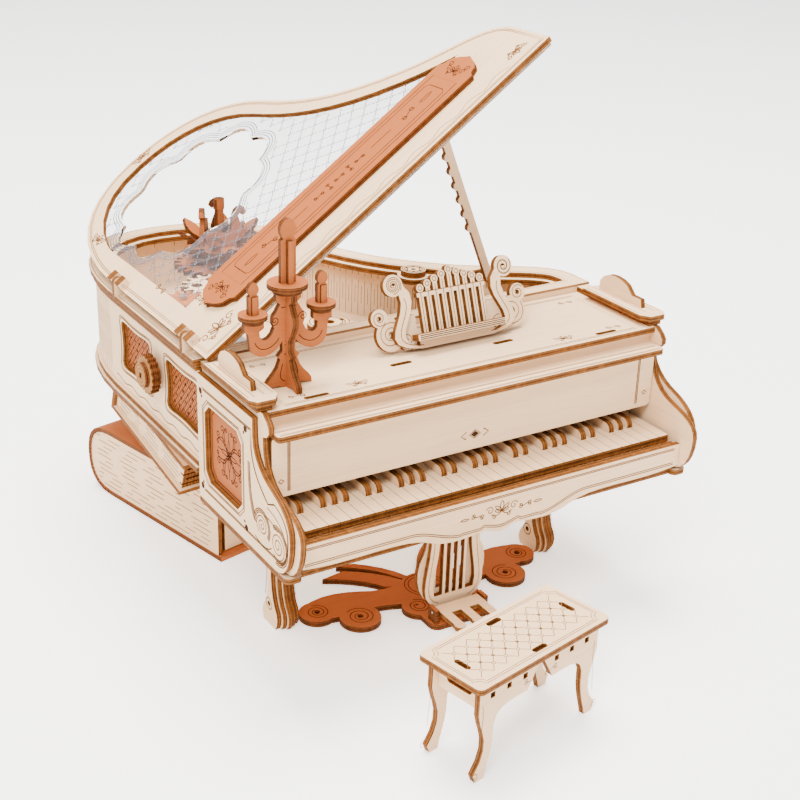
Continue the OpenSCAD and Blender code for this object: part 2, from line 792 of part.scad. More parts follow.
// flat scrolled frame on the floor, with the small bearings of the pedals
module scroll_base() {
    color("chocolate") {
        linear_extrude(3.2) {
            both() difference() {
                union() {
                    translate([46, 46]) circle(11);
                    translate([64, 60]) circle(9.6);
                    translate([14, 40]) circle(9);
                    polygon(concat(bez([70, 67], [54, 76], [40, 70], [28, 64], 6),
                        bez([28, 64], [14, 60], [10, 66], [0, 66], 5), [[0, 66], [0, 44], [6, 44]],
                        bez([8, 42], [20, 44], [28, 50], [40, 50], 5),
                        bez([40, 50], [54, 50], [58, 50], [70, 54], 5)));
                    polygon(concat(bez([6, 60], [10, 74], [24, 86], [40, 93], 6), [[46, 87]],
                        bez([46, 87], [32, 80], [21, 70], [17, 58], 6)));
                    polygon(concat(bez([2, 62], [4, 76], [16, 90], [30, 98], 6), [[33, 95]],
                        bez([33, 95], [20, 86], [9, 76], [7, 62], 6)));
                }
                for (p = [[46, 46], [64, 60], [14, 40]]) translate(p) circle(1.7);
            }
            difference() { translate([0, 56]) circle(13); translate([0, 56]) circle(4); }
            translate([0, 30]) rounded(36, 22, 5);
        }
        both() difference() {
            translate([14, 20.5, 3.1]) cube([2.2, 6.9, 8]);
            rod([10, pedal_axis.x, pedal_axis.y], "x", 1.2, 10);
        }
    }
}

// front and back boards of the pedal lyre
module lyre() {
    color("wheat") {
        board_xz(29) translate([0, 8]) {
            lyre_arms(21, 60, 5, 4.2);
            translate([0, 2]) square([24, 8], center = true);
            translate([0, 47]) square([26, 3.4], center = true);
            for (i = [-1.5:1.5]) translate([i * 4.2 - 0.8, 4]) square([1.6, 44]);
            translate([0, 53]) circle(4.4);
            translate([-10, -4.8]) square([20, 6]);
        }
        board_xz(29.05 + ply) difference() {
            union() {
                translate([0, 8]) lyre_outline(22, 58);
                translate([-8, 3.2]) square([16, 10]);
                translate([-9, 60]) square([18, z_bed - 60]);
            }
            translate([0, 34]) square([19, 34], center = true);
        }
    }
}

pedal_axis = [24, 8.6];

// pedal plate with three toes on a cross pin
module pedals() {
    color("wheat") difference() {
        board_xy(pedal_axis.y - 1.3, 2.6) {
            translate([-13.4, 18]) square([26.8, 8.4]);
            for (x = [-10.9, 0, 10.9]) {
                translate([x - 2.5, 6]) square([5, 14]);
                translate([x, 6]) circle(3);
            }
        }
        rod([-15, pedal_axis.x, pedal_axis.y], "x", 1.3, 30);
    }
}

// ------------------------------------------------------------------ books
book_turn = 13.5;
module on_book() { translate([-84, 134, 0]) rotate(book_turn) children(); }

book_l = 128;
book_d = 100;
book_h = 43;

// end view of the large book, drawn e inside its cover
module book_side(e, y0) {
    l = book_l - e;
    polygon(concat([[y0, e]], bez([book_l - 22, e], [l - 3, e], [l, book_h * 0.26], [l, book_h / 2], 6),
        bez([l, book_h / 2], [l, book_h * 0.74], [l - 3, book_h - e], [book_l - 22, book_h - e], 6),
        [[book_l - 22, book_h - e], [y0, book_h - e]]));
}

// cover of the large book: rounded spine at the far end, boards above and below
module book_cover() {
    color("chocolate") on_book() board_yz(0, book_d) difference() {
        book_side(0, 0);
        book_side(2.6, -1);
    }
}

module book_pages() {
    color("wheat") on_book() {
        for (x = [0.5, book_d - 3.1]) board_yz(x, 2.6) difference() {
            book_side(2.7, 3);
            translate([2, book_h - 14]) square([4.4, 12]);
        }
        for (y = [book_l - 24, book_l / 2]) translate([3.2, y, 2.8]) cube([book_d - 6.4, 2.6, book_h - 5.6]);
    }
}

// drawer hidden in the fore edge of the large book
module book_drawer() {
    color("wheat") on_book() difference() {
        translate([6.2, 4.2, 3.4]) union() {
            cube([book_d - 12.4, 2.6, book_h - 7]);
            translate([0.2, 2.5, 0]) cube([book_d - 12.8, book_l / 2 - 10, 24]);
        }
        translate([9, 9.4, 6]) cube([book_d - 18, book_l / 2 - 15.2, 40]);
        translate([book_d / 2, 0, 24]) rotate([-90, 0, 0]) cylinder(d = 5, h = 8);
    }
}

small_tilt = 17;
module on_small_book() { translate([-104, 143, book_h + 0.05]) rotate([small_tilt, 0, 6]) children(); }

module small_cover() {
    color("wheat") on_small_book() {
        cube([88, 78, 2.6]);
        translate([0, 0, 18.6]) cube([88, 78, 2.6]);
        translate([0, 78, 0]) cube([88, 2.6, 21.2]);
    }
}

// page block of the small book: slotted at the front, open towards the spine
module small_pages() {
    color("wheat") on_small_book() translate([2, 2, 2.7]) difference() {
        cube([84, 75.9, 15.8]);
        translate([2.6, 5, 2.6]) cube([78.8, 80, 10.6]);
        for (i = [0:3]) translate([(i % 2) * 3 - 1, -1, 2 + i * 3.4]) cube([83, 3.4, 1.2]);
    }
}

// ------------------------------------------------------------------ bench
bench_at = [-31, -65];
bench_turn = 12.6;
module on_bench() { translate([bench_at.x, bench_at.y, 0]) rotate(bench_turn) children(); }

module bench_top() {
    color("wheat") on_bench() board_xy(bench_h - ply) difference() {
        rounded(bench_l, bench_w, 3);
        for (s = [-1, 1]) {
            translate([s * bench_l * 0.4, 0]) slot2v(3, 9);
            translate([0, s * bench_w * 0.36]) slot2(9, 3);
        }
    }
}

leg_top = bench_h - ply;
module bench_leg_shape() {
    l = bench_l / 2 - 4;
    r = concat([[0, leg_top], [l, leg_top]],
        bez([l, leg_top - 8], [l + 2, leg_top - 18], [l - 6, leg_top - 24], [l - 4, leg_top - 34], 5),
        bez([l - 4, leg_top - 34], [l - 2, 6], [l + 3, 6], [l + 2, 1.6], 4),
        [[l, 0], [l - 5, 0]],
        bez([l - 6, 4], [l - 8, 10], [l - 10, 16], [l - 10, leg_top - 26], 5),
        bez([l - 10, leg_top - 22], [l - 12, leg_top - 12], [l - 22, leg_top - 15], [0, leg_top - 15], 6));
    polygon(r);
    mirror([1, 0]) polygon(r);
}

module bench_frames() {
    color("wheat") on_bench() for (s = [-1, 1])
        board_xz(s * (bench_w / 2 - 5) - 1.5) difference() {
            bench_leg_shape();
            for (i = [-3:3]) translate([i * 10.6, leg_top - 6]) square(3, center = true);
        }
}

module bench_ends() {
    color("wheat") on_bench() for (s = [-1, 1])
        board_yz(s * (bench_l / 2 - 9) - 1.5) difference() {
            translate([-bench_w / 2 + 6.6, leg_top - 14]) square([bench_w - 13.2, 14]);
            translate([0, leg_top - 7]) slot2(15, 4);
        }
}

place() keybed();
place() key_rails();
place() white_keys();
place() black_keys();
place() steel_pins();
place() playing_key(0);  // playing_key_1
place() playing_key(1);  // playing_key_2
place() playing_key(2);  // playing_key_3
place() keyslip();
place() cheeks_inner();
place() cheeks_outer();
place() cheek_panels();
place() fallboard();
place() name_rail();
place() fallboard_shelf();
place() deck();
place() back_board();
place() side_caps();
place() cap_brackets();
place() body_floor();
place() bent_wall();
place() left_side();
place() side_grilles();
place() rim();
place() hinge_lugs();
place() soundboard();
place() ornament_discs();
place() carousel_discs();
place() carousel_shaft();
place() lotus_petals();
place() swans();
place() idle_gear();
place() drive_gear();
place() movement();
place() winding_shaft();
place() winding_knob();
place() lid_frame();
place() lid_panel();
place() lid_plank();
place() lid_hinges();
place() lid_pins();
place() lid_prop();
place() music_stand();
place() candelabra_front();
place() candelabra_side();
place() drip_trays();
place() candles();
place() leg_cores();
place() leg_sides();
place() scroll_base();
place() lyre();
place() pedals();
place() book_cover();
place() book_pages();
place() book_drawer();
place() small_cover();
place() small_pages();
place() bench_top();
place() bench_frames();
place() bench_ends();
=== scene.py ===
import bpy, math
from mathutils import Vector, Matrix


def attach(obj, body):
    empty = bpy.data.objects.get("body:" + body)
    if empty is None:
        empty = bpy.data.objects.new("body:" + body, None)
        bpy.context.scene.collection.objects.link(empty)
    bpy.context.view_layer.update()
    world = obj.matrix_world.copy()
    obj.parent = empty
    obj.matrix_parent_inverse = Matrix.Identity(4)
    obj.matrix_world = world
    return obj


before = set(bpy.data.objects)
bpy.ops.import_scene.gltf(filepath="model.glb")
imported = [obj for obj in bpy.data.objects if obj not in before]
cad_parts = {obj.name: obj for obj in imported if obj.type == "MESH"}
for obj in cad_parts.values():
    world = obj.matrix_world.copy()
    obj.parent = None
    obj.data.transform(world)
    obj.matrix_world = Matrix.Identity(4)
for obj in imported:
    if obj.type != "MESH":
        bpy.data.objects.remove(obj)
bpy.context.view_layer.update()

# Places and sizes are design millimetres, angles degrees. A light is its name, its place and
# its size in metres, and its power in watts.
MM = 0.001
MID = Vector((-3.25, 97.221, 0))
PLY, ACRYLIC = 3.0, 2.0
Z_DECK, Z_WALL, Z_RIM, Z_CAP, Z_LID = 144.5, 141.5, 147.5, 150.5, 148.1
Z_SOUND, Z_GEAR, Z_SHELF = 111.0, 139.0, 137.0
HX, HZ, LID_ANGLE = -117.5, 155.1, 35.5
BENT_SHEET = 400.0
OPENING, WAIST, WASHER, KNOB_YZ = (-52, 212), (44, 146), (5, 172), (136, 121)
BOOK_TURN, BENCH_TURN, SMALL_TURN, STAND_TILT = 13.5, 12.6, 6, 20
BOOK_AT, SMALL_BOOK_AT, BENCH_AT = (-84, 134), (-104, 143, 43.05), (-31, -65)
BOOK_HEIGHT, BOOK_LENGTH = 43.0, 128.0
WHITE_KEYS, KEY_PITCH, FIRST_KEY = 36, 6.1, -109.6
KEY_LIGHT = ("key_light", (-1.0, -0.9, 1.7), 0.7, 62.0)
FILL_LIGHT = ("fill_light", (1.6, -1.2, 1.1), 1.6, 5.0)
TOP_LIGHT = ("top_light", (0.1, 0.35, 2.0), 1.1, 120.0)
WORLD_LIGHT, FLOOR_GLOW, FLOOR_HALF = 1.25, 0.9, 40.0
CAMERA_AT, AZIMUTH, ELEVATION, ROLL = (-373.3, -497.2, 413.6), -29.77, 24.03, 0.73
rad = math.radians


# ------------------------------------------------------------------ planes and lines
def row(p):
    """Design point in millimetres to the row frame in metres."""
    return (Vector(p) - MID) * MM


class Plane:
    """A drawing plane: origin and two directions in millimetres, normal u x v."""

    def __init__(self, o, u, v):
        self.o, self.u, self.v = Vector(o), Vector(u).normalized(), Vector(v).normalized()
        self.n = self.u.cross(self.v)

    def at(self, x, y, lift=0.0):
        return row(self.o + self.u * x + self.v * y + self.n * lift)


def top_plane(z):
    return Plane((0, 0, z), (1, 0, 0), (0, 1, 0))


def front_plane(y):
    return Plane((0, y, 0), (1, 0, 0), (0, 0, 1))


def left_plane(x):
    """Faces -X; its first axis runs towards the keyboard."""
    return Plane((x, 0, 0), (0, -1, 0), (0, 0, 1))


def turned(p, origin, deg):
    a = rad(deg)
    return Vector((origin[0] + p[0] * math.cos(a) - p[1] * math.sin(a),
                   origin[1] + p[0] * math.sin(a) + p[1] * math.cos(a), p[2]))


def lid_plane(z):
    c, s = math.cos(rad(LID_ANGLE)), math.sin(rad(LID_ANGLE))
    o = Vector((HX - HX * c - (z - HZ) * s, 0, HZ - HX * s + (z - HZ) * c))
    return Plane(o, (c, 0, s), (0, 1, 0))


def bez(a, b, c, d, n=8):
    out = []
    for i in range(n):
        t = i / n
        s = 1 - t
        out.append(tuple(s**3 * a[k] + 3 * s * s * t * b[k] + 3 * s * t * t * c[k] + t**3 * d[k]
                         for k in (0, 1)))
    return out


def inset(pts, e):
    """Closed outline moved inwards by e; pts run clockwise."""
    out = []
    for i in range(len(pts)):
        a, b, c = (Vector(pts[j % len(pts)]) for j in (i - 1, i, i + 1))
        u, v = (b - a), (c - b)
        if u.length < 1e-6 or v.length < 1e-6:
            continue
        u.normalize(), v.normalize()
        n1, n2 = Vector((u.y, -u.x)), Vector((v.y, -v.x))
        out.append(tuple(b + e * (n1 + n2) / (1 + n1.dot(n2))))
    return out


def circle(x, y, r, n=20):
    return [(x + r * math.cos(2 * math.pi * i / n), y + r * math.sin(2 * math.pi * i / n))
            for i in range(n)]


def spiral(x, y, r0, r1, turns, start=0.0, way=1, n=14):
    k = int(n * turns) + 2
    return [(x + (r0 + (r1 - r0) * i / k) * math.cos(rad(start) + way * 2 * math.pi * turns * i / k),
             y + (r0 + (r1 - r0) * i / k) * math.sin(rad(start) + way * 2 * math.pi * turns * i / k))
            for i in range(k + 1)]


def inside(p, pts):
    hit = False
    for i in range(len(pts)):
        (x1, y1), (x2, y2) = pts[i - 1], pts[i]
        if (y1 > p[1]) != (y2 > p[1]) and p[0] < (x2 - x1) * (p[1] - y1) / (y2 - y1) + x1:
            hit = not hit
    return hit


def mirror_x(lines, x=0.0):
    return [[(2 * x - p[0], p[1]) for p in l] for l in lines]


def moved(lines, dx, dy, deg=0.0, k=1.0):
    c, s = math.cos(rad(deg)) * k, math.sin(rad(deg)) * k
    return [[(dx + p[0] * c - p[1] * s, dy + p[0] * s + p[1] * c) for p in l] for l in lines]


def rect(x0, y0, x1, y1, r=0.0):
    if r <= 0:
        return [(x0, y0), (x1, y0), (x1, y1), (x0, y1), (x0, y0)]
    return [(x0 + r, y0), (x1 - r, y0), (x1, y0 + r), (x1, y1 - r), (x1 - r, y1), (x0 + r, y1),
            (x0, y1 - r), (x0, y0 + r), (x0 + r, y0)]


def closed(pts):
    return list(pts) + [pts[0]]


def notched(x0, y0, x1, y1, r=3.0):
    """Border line with inward-curved corners."""
    out = []
    for cx, cy, a in ((x1, y0, 180), (x1, y1, 270), (x0, y1, 0), (x0, y0, 90)):
        for i in range(5):
            t = rad(a - 90 * i / 4)
            out.append((cx + r * math.cos(t), cy + r * math.sin(t)))
    return closed(out)


# ------------------------------------------------------------------ objects
def mesh_object(name, verts, faces, mat, body, smooth=False):
    me = bpy.data.meshes.new(name)
    me.from_pydata([tuple(v) for v in verts], [], faces)
    me.update()
    if smooth:
        for p in me.polygons:
            p.use_smooth = True
    o = bpy.data.objects.new(name, me)
    bpy.context.scene.collection.objects.link(o)
    me.materials.append(mat)
    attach(o, body)
    return o


def lines_on(name, plane, lines, mat, body="case", w=0.66, lift=0.06):
    """Laser-engraved lines: thin ribbons lying just on the face of a board."""
    verts, faces = [], []
    for l in lines:
        pts = [Vector(p) for i, p in enumerate(l) if i == 0 or (Vector(p) - Vector(l[i - 1])).length > 1e-4]
        if len(pts) < 2:
            continue
        loop = (pts[0] - pts[-1]).length < 1e-4
        first = len(verts)
        for i, p in enumerate(pts):
            a = pts[i - 1] if i else (pts[-2] if loop else p)
            b = pts[i + 1] if i < len(pts) - 1 else (pts[1] if loop else p)
            d = b - a
            if d.length < 1e-6:
                d = Vector((1, 0))
            d.normalize()
            n = Vector((-d.y, d.x)) * w / 2
            verts += [plane.at(p.x + n.x, p.y + n.y, lift), plane.at(p.x - n.x, p.y - n.y, lift)]
        for i in range(len(pts) - 1):
            k = first + 2 * i
            faces.append((k + 1, k + 3, k + 2, k))
    return mesh_object(name, verts, faces, mat, body)


def slab(name, plane, outline, t, mat, body, holes=(), depth0=0.0):
    """Board cut to an outline, t thick, front face on the plane, built as a filled curve."""
    cu = bpy.data.curves.new(name, "CURVE")
    cu.dimensions = "2D"
    cu.fill_mode = "BOTH"
    for pts in [outline, *holes]:
        sp = cu.splines.new("POLY")
        sp.points.add(len(pts) - 1)
        for q, p in zip(sp.points, pts):
            q.co = (p[0] * MM, p[1] * MM, 0, 1)
        sp.use_cyclic_u = True
    cu.extrude = t / 2 * MM
    tmp = bpy.data.objects.new(name + "_outline", cu)
    bpy.context.scene.collection.objects.link(tmp)
    me = bpy.data.meshes.new_from_object(tmp.evaluated_get(bpy.context.evaluated_depsgraph_get()))
    bpy.data.objects.remove(tmp)
    bpy.data.curves.remove(cu)
    m = Matrix.Identity(4)
    for i, a in enumerate((plane.u, plane.v, plane.n)):
        m[0][i], m[1][i], m[2][i] = a
    m.translation = plane.at(0, 0, -depth0 - t / 2)
    me.transform(m)
    me.name = name
    o = bpy.data.objects.new(name, me)
    bpy.context.scene.collection.objects.link(o)
    me.materials.clear()
    me.materials.append(mat)
    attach(o, body)
    return o


# ------------------------------------------------------------------ materials
CREAM = (0.76, 0.515, 0.305)
ORANGE = (0.33, 0.092, 0.024)
MID_BROWN = (0.32, 0.14, 0.040)
EDGE = (0.150, 0.052, 0.011)
EDGE_ORANGE = (0.095, 0.028, 0.006)


class Nodes:
    """Small helper to build a material's node tree."""

    def __init__(self, name):
        self.mat = bpy.data.materials.new(name)
        self.mat.use_nodes = True
        self.t = self.mat.node_tree
        self.bsdf = self.t.nodes["Principled BSDF"]
        self.bsdf.inputs["Specular IOR Level"].default_value = 0.06

    def new(self, kind, **kw):
        n = self.t.nodes.new(kind)
        for k, v in kw.items():
            setattr(n, k, v)
        return n

    def link(self, a, b):
        self.t.links.new(a, b)

    def math(self, op, a, b=None):
        n = self.new("ShaderNodeMath", operation=op)
        for i, v in enumerate((a, b)):
            if v is None:
                continue
            if isinstance(v, (int, float)):
                n.inputs[i].default_value = v
            else:
                self.link(v, n.inputs[i])
        return n.outputs[0]

    def dot(self, a, vec):
        n = self.new("ShaderNodeVectorMath", operation="DOT_PRODUCT")
        self.link(a, n.inputs[0])
        n.inputs[1].default_value = tuple(vec)
        return n.outputs["Value"]

    def mix(self, f, a, b):
        n = self.new("ShaderNodeMix", data_type="RGBA")
        for s, v in ((n.inputs[0], f), (n.inputs[6], a), (n.inputs[7], b)):
            if isinstance(v, (int, float)):
                s.default_value = v
            elif isinstance(v, tuple):
                s.default_value = (*v, 1)
            else:
                self.link(v, s)
        return n.outputs[2]

    def noise(self, vec, scale, detail=3.0, rough=0.55):
        n = self.new("ShaderNodeTexNoise")
        n.inputs["Scale"].default_value = scale
        n.inputs["Detail"].default_value = detail
        n.inputs["Roughness"].default_value = rough
        self.link(vec, n.inputs["Vector"])
        return n.outputs[0]

    def ramp(self, f, stops):
        n = self.new("ShaderNodeValToRGB")
        r = n.color_ramp
        while len(r.elements) < len(stops):
            r.elements.new(0.5)
        for e, (p, c) in zip(r.elements, stops):
            e.position = p
            e.color = (*c, 1) if isinstance(c, tuple) else (c, c, c, 1)
        self.link(f, n.inputs[0])
        return n.outputs[0]


def shade(c, k):
    return tuple(v * k for v in c)


_made = {}


def ply(axis, base=0.0, thick=PLY, tone="cream", grain=None, upright=False):
    """Laser-cut plywood: fine grain on the faces, browned layered edges. axis is the face normal.
    An upright sheet bent round the axis has its faces where the normal lies across it."""
    axis = Vector(axis).normalized()
    if grain is None:
        grain = Vector((1, 0, 0)) if abs(axis.x) < 0.7 else Vector((0, 1, 0))
    grain = (Vector(grain) - axis * Vector(grain).dot(axis)).normalized()
    key = (tuple(round(v, 3) for v in axis), round(base, 2), thick, tone, upright)
    if key in _made:
        return _made[key]
    face, edge = (CREAM, EDGE) if tone == "cream" else (ORANGE, EDGE_ORANGE)
    if tone == "mid":
        face = MID_BROWN
    m = Nodes(f"{tone}_ply_{len(_made)}")
    co = m.new("ShaderNodeTexCoord")
    across = grain.cross(axis)
    g, a, n = m.dot(co.outputs["Object"], grain), m.dot(co.outputs["Object"], across), \
        m.dot(co.outputs["Object"], axis)
    grainvec = m.new("ShaderNodeCombineXYZ")
    m.link(m.math("MULTIPLY", g, 0.035), grainvec.inputs[0])
    m.link(a, grainvec.inputs[1])
    m.link(m.math("MULTIPLY", n, 0.4), grainvec.inputs[2])
    fibre = m.noise(grainvec.outputs[0], 900.0, 4.0, 0.6)
    cloud = m.noise(co.outputs["Object"], 26.0, 2.0)
    pores = m.noise(grainvec.outputs[0], 2600.0, 2.0, 0.7)
    f1 = m.ramp(fibre, [(0.30, shade(face, 0.90)), (0.52, face), (0.75, shade(face, 1.05))])
    f2 = m.mix(m.math("MULTIPLY", cloud, 0.22), f1, shade(face, 0.84))
    facecol = m.mix(m.ramp(pores, [(0.62, 0.0), (0.72, 0.22)]), f2, shade(face, 0.66))
    # edge: plies along the thickness, scorched streaks across it
    layer = m.math("FRACT", m.math("DIVIDE", m.math("SUBTRACT", n, base * MM), thick * MM))
    bands = m.ramp(layer, [(0.0, shade(edge, 0.30)), (0.12, shade(edge, 1.30)), (0.30, shade(edge, 1.90)),
                           (0.36, shade(edge, 0.42)), (0.50, shade(edge, 0.55)), (0.64, shade(edge, 0.42)),
                           (0.70, shade(edge, 1.95)), (0.88, shade(edge, 1.25)), (1.0, shade(edge, 0.30))])
    streakvec = m.new("ShaderNodeVectorMath", operation="SUBTRACT")
    m.link(co.outputs["Object"], streakvec.inputs[0])
    shift = m.new("ShaderNodeVectorMath", operation="SCALE")
    shift.inputs[0].default_value = tuple(axis)
    m.link(m.math("MULTIPLY", n, 0.93), shift.inputs["Scale"])
    m.link(shift.outputs[0], streakvec.inputs[1])
    streak = m.noise(streakvec.outputs[0], 1100.0, 3.0, 0.65)
    edgecol = m.mix(m.ramp(streak, [(0.35, 0.0), (0.75, 0.75)]), bands, shade(edge, 0.45))
    edgecol = m.mix(m.ramp(m.noise(streakvec.outputs[0], 260.0), [(0.45, 0.0), (0.75, 0.5)]),
                    edgecol, shade(edge, 1.75))
    nrm = m.math("ABSOLUTE", m.dot(co.outputs["Normal"], axis))
    isface = m.math("LESS_THAN" if upright else "GREATER_THAN", nrm, 0.5 if upright else 0.72)
    m.link(m.mix(isface, edgecol, facecol), m.bsdf.inputs["Base Color"])
    m.bsdf.inputs["Roughness"].default_value = 0.62
    bump = m.new("ShaderNodeBump")
    bump.inputs["Strength"].default_value = 0.25
    bump.inputs["Distance"].default_value = 0.0001
    m.link(m.math("ADD", fibre, m.math("MULTIPLY", streak, 0.5)), bump.inputs["Height"])
    m.link(bump.outputs[0], m.bsdf.inputs["Normal"])
    _made[key] = m.mat
    return m.mat


def grained(name, scale, low, high, rough, metallic=0.0):
    """Plain material whose colour wanders between two tones."""
    m = Nodes(name)
    co = m.new("ShaderNodeTexCoord")
    colour = m.ramp(m.noise(co.outputs["Object"], scale), [(0.3, low), (0.7, high)])
    m.link(colour, m.bsdf.inputs["Base Color"])
    m.bsdf.inputs["Roughness"].default_value = rough
    m.bsdf.inputs["Metallic"].default_value = metallic
    return m.mat


def burnt_line():
    return grained("burnt_line", 800.0, (0.10, 0.038, 0.011), (0.20, 0.082, 0.026), 0.8)


def pale_line():
    return grained("pale_line", 800.0, (0.18, 0.080, 0.028), (0.28, 0.135, 0.052), 0.8)


def dark_line():
    return grained("dark_line", 800.0, (0.026, 0.007, 0.002), (0.060, 0.015, 0.005), 0.85)


def hole_dark():
    return grained("scorched_hole", 900.0, (0.022, 0.010, 0.005), (0.06, 0.026, 0.012), 0.9)


def acrylic():
    m = Nodes("clear_acrylic")
    b = m.bsdf
    b.inputs["Base Color"].default_value = (0.985, 0.99, 1.0, 1)
    b.inputs["Roughness"].default_value = 0.02
    b.inputs["IOR"].default_value = 1.49
    b.inputs["Specular IOR Level"].default_value = 0.5
    b.inputs["Transmission Weight"].default_value = 1.0
    co = m.new("ShaderNodeTexCoord")
    bump = m.new("ShaderNodeBump")
    bump.inputs["Strength"].default_value = 0.04
    bump.inputs["Distance"].default_value = 0.0002
    m.link(m.noise(co.outputs["Object"], 40.0), bump.inputs["Height"])
    m.link(bump.outputs[0], b.inputs["Normal"])
    out = m.t.nodes["Material Output"]
    path = m.new("ShaderNodeLightPath")
    clear = m.new("ShaderNodeBsdfTransparent")
    mixer = m.new("ShaderNodeMixShader")
    m.link(path.outputs["Is Shadow Ray"], mixer.inputs[0])
    m.link(b.outputs[0], mixer.inputs[1])
    m.link(clear.outputs[0], mixer.inputs[2])
    m.link(mixer.outputs[0], out.inputs["Surface"])
    return m.mat


def frosted_line():
    return grained("frosted_line", 700.0, (0.10, 0.10, 0.115), (0.17, 0.17, 0.19), 0.5)


def steel():
    return grained("brushed_steel", 500.0, (0.42, 0.42, 0.43), (0.60, 0.60, 0.61), 0.35, metallic=1.0)


X, Y, Z = (1, 0, 0), (0, 1, 0), (0, 0, 1)
LID_N = (-math.sin(rad(LID_ANGLE)), 0, math.cos(rad(LID_ANGLE)))
BOOK_U = (math.cos(rad(BOOK_TURN)), math.sin(rad(BOOK_TURN)), 0)
BOOK_V = (-math.sin(rad(BOOK_TURN)), math.cos(rad(BOOK_TURN)), 0)
BENCH_U = (math.cos(rad(BENCH_TURN)), math.sin(rad(BENCH_TURN)), 0)
BENCH_V = (-math.sin(rad(BENCH_TURN)), math.cos(rad(BENCH_TURN)), 0)
SMALL_TILT = 17.0


def paint():
    """Gives every CAD node its plywood, by the direction of its faces."""
    lid_base = (row((HX, 0, HZ)).dot(Vector(LID_N)) / MM) + (Z_LID + ACRYLIC - HZ)
    tilt = Vector((0, -math.cos(rad(STAND_TILT)), math.sin(rad(STAND_TILT))))
    sm = Matrix.Rotation(rad(SMALL_TURN), 3, "Z") @ Matrix.Rotation(rad(SMALL_TILT), 3, "X")
    c = {
        "keybed": (Z, 71.5), "key_rails": (Y, 6 - MID.y), "white_keys": (Z, 88, 4.0), "black_keys": (X, 0, 3.2),
        "keyslip": (Y, -7.6 - MID.y), "cheeks_inner": (X, 111.6 - MID.x), "cheeks_outer": (X, 114.6 - MID.x),
        "fallboard": (Y, 18 - MID.y), "name_rail": (Y, 23 - MID.y),
        "fallboard_shelf": (Z, 132.6), "deck": (Z, 141.5),
        "back_board": (Y, 81 - MID.y), "side_caps": (Z, Z_RIM - PLY), "cap_brackets": (X, 111.5 - MID.x),
        "body_floor": (Z, 87), "left_side": (X, -116 - MID.x),
        "rim": (Z, Z_WALL), "hinge_lugs": (Y, 0), "soundboard": (Z, 108), "ornament_discs": (Z, Z_SHELF - PLY),
        "idle_gear": (Z, Z_GEAR), "lid_hinges": (Y, 0), "lid_prop": (Y, 122.5 - MID.y),
        "leg_cores": (X, 0, 2.55), "leg_sides": (X, 0, 2.6), "lyre": (Y, 29 - MID.y), "pedals": (Z, 7.3, 2.6),
        "book_pages": (BOOK_U, 0, 2.6), "book_drawer": (BOOK_V, 0, 2.6), "lid_frame": (LID_N, lid_base),
        "music_stand": (tilt, 0), "bench_top": (Z, 49), "bench_frames": (BENCH_V, 0),
        "bench_ends": (BENCH_U, 0), "small_cover": (tuple(sm @ Vector(Z)), 0, 2.6),
        "small_pages": (tuple(sm @ Vector(X)), 0, 4.0), "playing_key_1": (Z, 88, 4.0),
        "playing_key_2": (Z, 88, 4.0), "playing_key_3": (Z, 88, 4.0),
    }
    o = {
        "cheek_panels": (X, 0, 2.6), "side_grilles": (X, 0, 2.4), "carousel_discs": (Z, Z_GEAR),
        "carousel_shaft": (Y, 0), "lotus_petals": (Z, 0), "swans": (Y, 0), "drive_gear": (Z, Z_GEAR),
        "lid_plank": (LID_N, lid_base + PLY),
        "candelabra_front": (Y, 41.5 - MID.y), "candelabra_side": (X, -91.5 - MID.x), "drip_trays": (Z, 0, 2.6),
        "candles": (Y, 0, 2.6), "scroll_base": (Z, 0, 3.2),
    }
    for tone, group in (("cream", c), ("orange", o)):
        for name, spec in group.items():
            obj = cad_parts[name]
            obj.data.materials.clear()
            obj.data.materials.append(ply(*spec, tone=tone))
    for name, axis, tone, slot in (("bent_wall", Z, "cream", "basswood_ply"),
                                   ("book_cover", BOOK_U, "orange", "stained_ply")):
        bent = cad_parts[name]
        bent.data.materials.clear()
        bent.data.materials.append(ply(axis, 0, BENT_SHEET, tone=tone, upright=True))
    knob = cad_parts["winding_knob"]
    knob.data.materials.clear()
    knob.data.materials.append(ply(X, -125.9 - MID.x, 2.4, tone="mid"))
    metal = steel()
    for name in ("steel_pins", "movement", "winding_shaft", "lid_pins"):
        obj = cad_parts[name]
        obj.data.materials.clear()
        obj.data.materials.append(metal)
    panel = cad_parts["lid_panel"]
    panel.data.materials.clear()
    panel.data.materials.append(acrylic())


BURN, PALE, DARK, HOLE, FROST = burnt_line(), pale_line(), dark_line(), hole_dark(), frosted_line()


# ------------------------------------------------------------------ ornaments
def curl(k=1.0):
    """An S-shaped scroll with a spiral at each end, about 10 long."""
    a = spiral(-4, 0, 0.4, 2.0, 1.3, 0, 1)
    b = spiral(4, 0, 0.4, 2.0, 1.3, 180, 1)
    return moved([a, b, [a[-1]] + bez(a[-1], (-3, -3.5), (3, 3.5), b[-1]) + [b[-1]]], 0, 0, 0, k)


def leaf(l, w):
    return closed(bez((0, 0), (l * 0.3, w), (l * 0.8, w * 0.7), (l, 0), 6)
                  + bez((l, 0), (l * 0.8, -w * 0.7), (l * 0.3, -w), (0, 0), 6))


def floral(k=1.0):
    """Small symmetrical spray of leaves and scrolls, about 16 wide."""
    out = [leaf(4, 1.3)]
    out = moved(out, 0, 0.5, 90)
    for s, a in ((4.4, 40), (4.2, 140), (3.4, 12), (3.4, 168)):
        out += moved([leaf(s, 1.0)], 0, 0, a)
    half = [spiral(5.6, 1.2, 0.3, 1.9, 1.2, 90, -1), bez((0, 0), (2, -2.4), (4, -1.8), (5.6, 0.2), 8),
            spiral(3.2, -1.9, 0.2, 1.1, 1.0, 90, 1)]
    return moved(out + half + mirror_x(half), 0, 0, 0, k)


